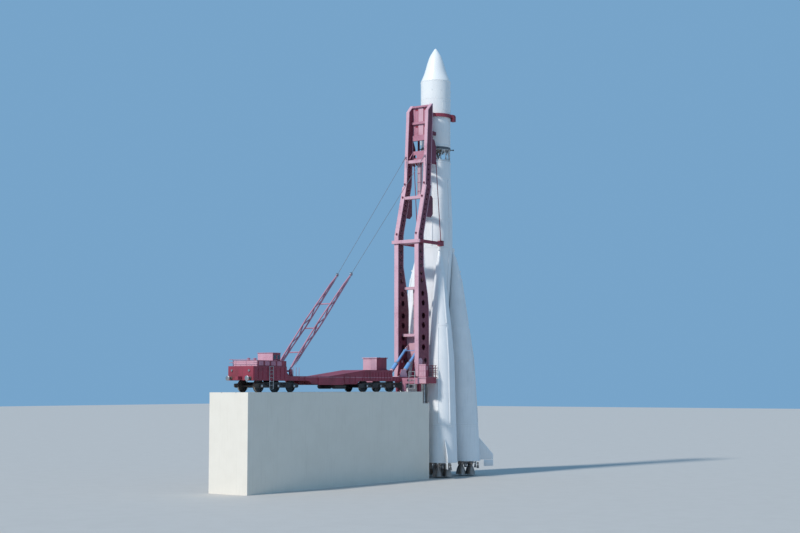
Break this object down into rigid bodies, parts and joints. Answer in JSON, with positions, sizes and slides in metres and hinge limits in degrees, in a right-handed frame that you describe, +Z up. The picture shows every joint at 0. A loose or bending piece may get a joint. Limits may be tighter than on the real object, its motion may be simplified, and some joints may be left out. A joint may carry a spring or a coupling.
{
  "type": "space rocket on a railway transporter-erector",
  "caption": "Upright strap-on space rocket clamped to the boom of a railway transporter-erector with lifting cylinders, stay arms and bogies.",
  "frame": {"origin": "on the rocket's axis at the height of the rail heads that carry the car", "axes": "+Z up along the rocket, the railway car stands toward -X, +Y is the far side"},
  "size_m": [30.0128, 7.3256, 38.36],
  "materials": {
    "rocket_white": "satin",
    "truss_grey": "satin",
    "engine_metal": "dull",
    "boom_rose": "matte",
    "car_crimson": "matte",
    "cylinder_blue": "satin",
    "cable_steel": "dull",
    "bogie_black": "matte"
  },
  "bodies": {
    "car": {"car_frame": "car_crimson", "outrigger_near": "boom_rose", "outrigger_far": "boom_rose", "end_frame": "car_crimson", "service_cabinet": "boom_rose", "deck_box": "car_crimson", "rear_cabin": "boom_rose"},
    "boom": {"boom_girder_near": "boom_rose", "boom_girder_far": "boom_rose", "boom_cross_frame": "boom_rose", "boom_middle_beam": "boom_rose", "boom_upper_frame": "boom_rose", "boom_head": "boom_rose", "fairing_collar": "boom_rose", "stage_saddle": "car_crimson", "core_clamp": "car_crimson", "payload_fairing": "rocket_white", "third_stage": "rocket_white", "interstage_truss": "truss_grey", "third_stage_engine": "engine_metal", "core_stage": "rocket_white", "core_engine": "engine_metal", "strap_on_tank_1": "rocket_white", "strap_on_tail_1": "rocket_white", "strap_on_engine_1": "engine_metal", "strap_on_tank_2": "rocket_white", "strap_on_tail_2": "rocket_white", "strap_on_engine_2": "engine_metal", "strap_on_tank_3": "rocket_white", "strap_on_tail_3": "rocket_white", "strap_on_engine_3": "engine_metal", "strap_on_tank_4": "rocket_white", "strap_on_tail_4": "rocket_white", "strap_on_engine_4": "engine_metal"},
    "lift_barrels": {"lift_barrels": "boom_rose"},
    "lift_rods": {"lift_rods": "cylinder_blue"},
    "stay_arms": {"stay_arms": "boom_rose"},
    "stay_near": {"stay_near": "cable_steel"},
    "stay_far": {"stay_far": "cable_steel"},
    "bogie_1": {"bogie_frame_1": "bogie_black"},
    "wheelset_1": {"wheelset_1": "bogie_black"},
    "wheelset_2": {"wheelset_2": "bogie_black"},
    "wheelset_3": {"wheelset_3": "bogie_black"},
    "wheelset_4": {"wheelset_4": "bogie_black"},
    "bogie_2": {"bogie_frame_2": "bogie_black"},
    "wheelset_5": {"wheelset_5": "bogie_black"},
    "wheelset_6": {"wheelset_6": "bogie_black"},
    "wheelset_7": {"wheelset_7": "bogie_black"},
    "core_vernier_1": {"core_vernier_1": "engine_metal"},
    "core_vernier_2": {"core_vernier_2": "engine_metal"},
    "core_vernier_3": {"core_vernier_3": "engine_metal"},
    "core_vernier_4": {"core_vernier_4": "engine_metal"},
    "strap_on_vernier_1": {"strap_on_vernier_1": "engine_metal"},
    "strap_on_vernier_2": {"strap_on_vernier_2": "engine_metal"},
    "strap_on_vernier_3": {"strap_on_vernier_3": "engine_metal"},
    "strap_on_vernier_4": {"strap_on_vernier_4": "engine_metal"},
    "strap_on_vernier_5": {"strap_on_vernier_5": "engine_metal"},
    "strap_on_vernier_6": {"strap_on_vernier_6": "engine_metal"},
    "strap_on_vernier_7": {"strap_on_vernier_7": "engine_metal"},
    "strap_on_vernier_8": {"strap_on_vernier_8": "engine_metal"}
  },
  "joints": [
    {"name": "boom_raise", "type": "hinge", "parent": "car", "child": "boom", "pos_m": [-4.3, 0, 2.6], "axis": [0, -1, 0], "range_deg": [0, 90]},
    {"name": "lift_barrels_swing", "type": "hinge", "parent": "car", "child": "lift_barrels", "pos_m": [-6.45, 0, 1.25], "axis": [0, -1, 0], "range_deg": [0, 20.58]},
    {"name": "lift_rods_slide", "type": "slide", "parent": "lift_barrels", "child": "lift_rods", "axis": [0.7399, 0, 0.6727], "range_m": [-1.5252, 0]},
    {"name": "stay_arms_fold", "type": "hinge", "parent": "car", "child": "stay_arms", "pos_m": [-21.2, 0, 1.62], "axis": [0, 1, 0], "range_deg": [0, 43.26]},
    {"name": "stay_near_swing", "type": "hinge", "parent": "boom", "child": "stay_near", "pos_m": [-3.29, -1.03, 20.7], "axis": [0, -1, 0], "range_deg": [0, 35.3], "deforming": ["stay_near"]},
    {"name": "stay_far_swing", "type": "hinge", "parent": "boom", "child": "stay_far", "pos_m": [-3.29, 1.03, 20.7], "axis": [0, -1, 0], "range_deg": [0, 35.3], "deforming": ["stay_far"]},
    {"name": "bogie_1_swivel", "type": "hinge", "parent": "car", "child": "bogie_1", "pos_m": [-8.995, 0, 0.875], "axis": [0, 0, 1], "range_deg": [-3, 3]},
    {"name": "wheelset_1_roll", "type": "hinge", "parent": "bogie_1", "child": "wheelset_1", "pos_m": [-6.19, 0, 0.475], "axis": [0, 1, 0], "continuous": true},
    {"name": "wheelset_2_roll", "type": "hinge", "parent": "bogie_1", "child": "wheelset_2", "pos_m": [-8.06, 0, 0.475], "axis": [0, 1, 0], "continuous": true},
    {"name": "wheelset_3_roll", "type": "hinge", "parent": "bogie_1", "child": "wheelset_3", "pos_m": [-9.93, 0, 0.475], "axis": [0, 1, 0], "continuous": true},
    {"name": "wheelset_4_roll", "type": "hinge", "parent": "bogie_1", "child": "wheelset_4", "pos_m": [-11.8, 0, 0.475], "axis": [0, 1, 0], "continuous": true},
    {"name": "bogie_2_swivel", "type": "hinge", "parent": "car", "child": "bogie_2", "pos_m": [-22.97, 0, 0.875], "axis": [0, 0, 1], "range_deg": [-3, 3]},
    {"name": "wheelset_5_roll", "type": "hinge", "parent": "bogie_2", "child": "wheelset_5", "pos_m": [-21.1, 0, 0.475], "axis": [0, 1, 0], "continuous": true},
    {"name": "wheelset_6_roll", "type": "hinge", "parent": "bogie_2", "child": "wheelset_6", "pos_m": [-22.97, 0, 0.475], "axis": [0, 1, 0], "continuous": true},
    {"name": "wheelset_7_roll", "type": "hinge", "parent": "bogie_2", "child": "wheelset_7", "pos_m": [-24.84, 0, 0.475], "axis": [0, 1, 0], "continuous": true},
    {"name": "core_vernier_1_tilt", "type": "hinge", "parent": "boom", "child": "core_vernier_1", "pos_m": [0.8, 0, -6.32], "axis": [1, 0, 0], "range_deg": [-35, 35]},
    {"name": "core_vernier_2_tilt", "type": "hinge", "parent": "boom", "child": "core_vernier_2", "pos_m": [0, 0.8, -6.32], "axis": [0, 1, 0], "range_deg": [-35, 35]},
    {"name": "core_vernier_3_tilt", "type": "hinge", "parent": "boom", "child": "core_vernier_3", "pos_m": [-0.8, 0, -6.32], "axis": [-1, 0, 0], "range_deg": [-35, 35]},
    {"name": "core_vernier_4_tilt", "type": "hinge", "parent": "boom", "child": "core_vernier_4", "pos_m": [0, -0.8, -6.32], "axis": [0, -1, 0], "range_deg": [-35, 35]},
    {"name": "strap_on_vernier_1_tilt", "type": "hinge", "parent": "boom", "child": "strap_on_vernier_1", "pos_m": [2.96278, 2.18496, -6.32], "axis": [0.7071, 0.7071, 0], "range_deg": [-35, 35]},
    {"name": "strap_on_vernier_2_tilt", "type": "hinge", "parent": "boom", "child": "strap_on_vernier_2", "pos_m": [2.18496, 2.96278, -6.32], "axis": [0.7071, 0.7071, 0], "range_deg": [-35, 35]},
    {"name": "strap_on_vernier_3_tilt", "type": "hinge", "parent": "boom", "child": "strap_on_vernier_3", "pos_m": [-2.18496, 2.96278, -6.32], "axis": [-0.7071, 0.7071, 0], "range_deg": [-35, 35]},
    {"name": "strap_on_vernier_4_tilt", "type": "hinge", "parent": "boom", "child": "strap_on_vernier_4", "pos_m": [-2.96278, 2.18496, -6.32], "axis": [-0.7071, 0.7071, 0], "range_deg": [-35, 35]},
    {"name": "strap_on_vernier_5_tilt", "type": "hinge", "parent": "boom", "child": "strap_on_vernier_5", "pos_m": [-2.96278, -2.18496, -6.32], "axis": [-0.7071, -0.7071, 0], "range_deg": [-35, 35]},
    {"name": "strap_on_vernier_6_tilt", "type": "hinge", "parent": "boom", "child": "strap_on_vernier_6", "pos_m": [-2.18496, -2.96278, -6.32], "axis": [-0.7071, -0.7071, 0], "range_deg": [-35, 35]},
    {"name": "strap_on_vernier_7_tilt", "type": "hinge", "parent": "boom", "child": "strap_on_vernier_7", "pos_m": [2.18496, -2.96278, -6.32], "axis": [0.7071, -0.7071, 0], "range_deg": [-35, 35]},
    {"name": "strap_on_vernier_8_tilt", "type": "hinge", "parent": "boom", "child": "strap_on_vernier_8", "pos_m": [2.96278, -2.18496, -6.32], "axis": [0.7071, -0.7071, 0], "range_deg": [-35, 35]}
  ],
  "couplings": [
    {"joint": "lift_barrels_swing", "follows": "boom_raise", "ratio": 0.22863},
    {"joint": "lift_rods_slide", "follows": "boom_raise", "m_per_rad": -0.97088},
    {"joint": "stay_arms_fold", "follows": "boom_raise", "ratio": 0.48059},
    {"joint": "stay_near_swing", "follows": "boom_raise", "ratio": 0.3922},
    {"joint": "stay_far_swing", "follows": "boom_raise", "ratio": 0.3922}
  ]
}
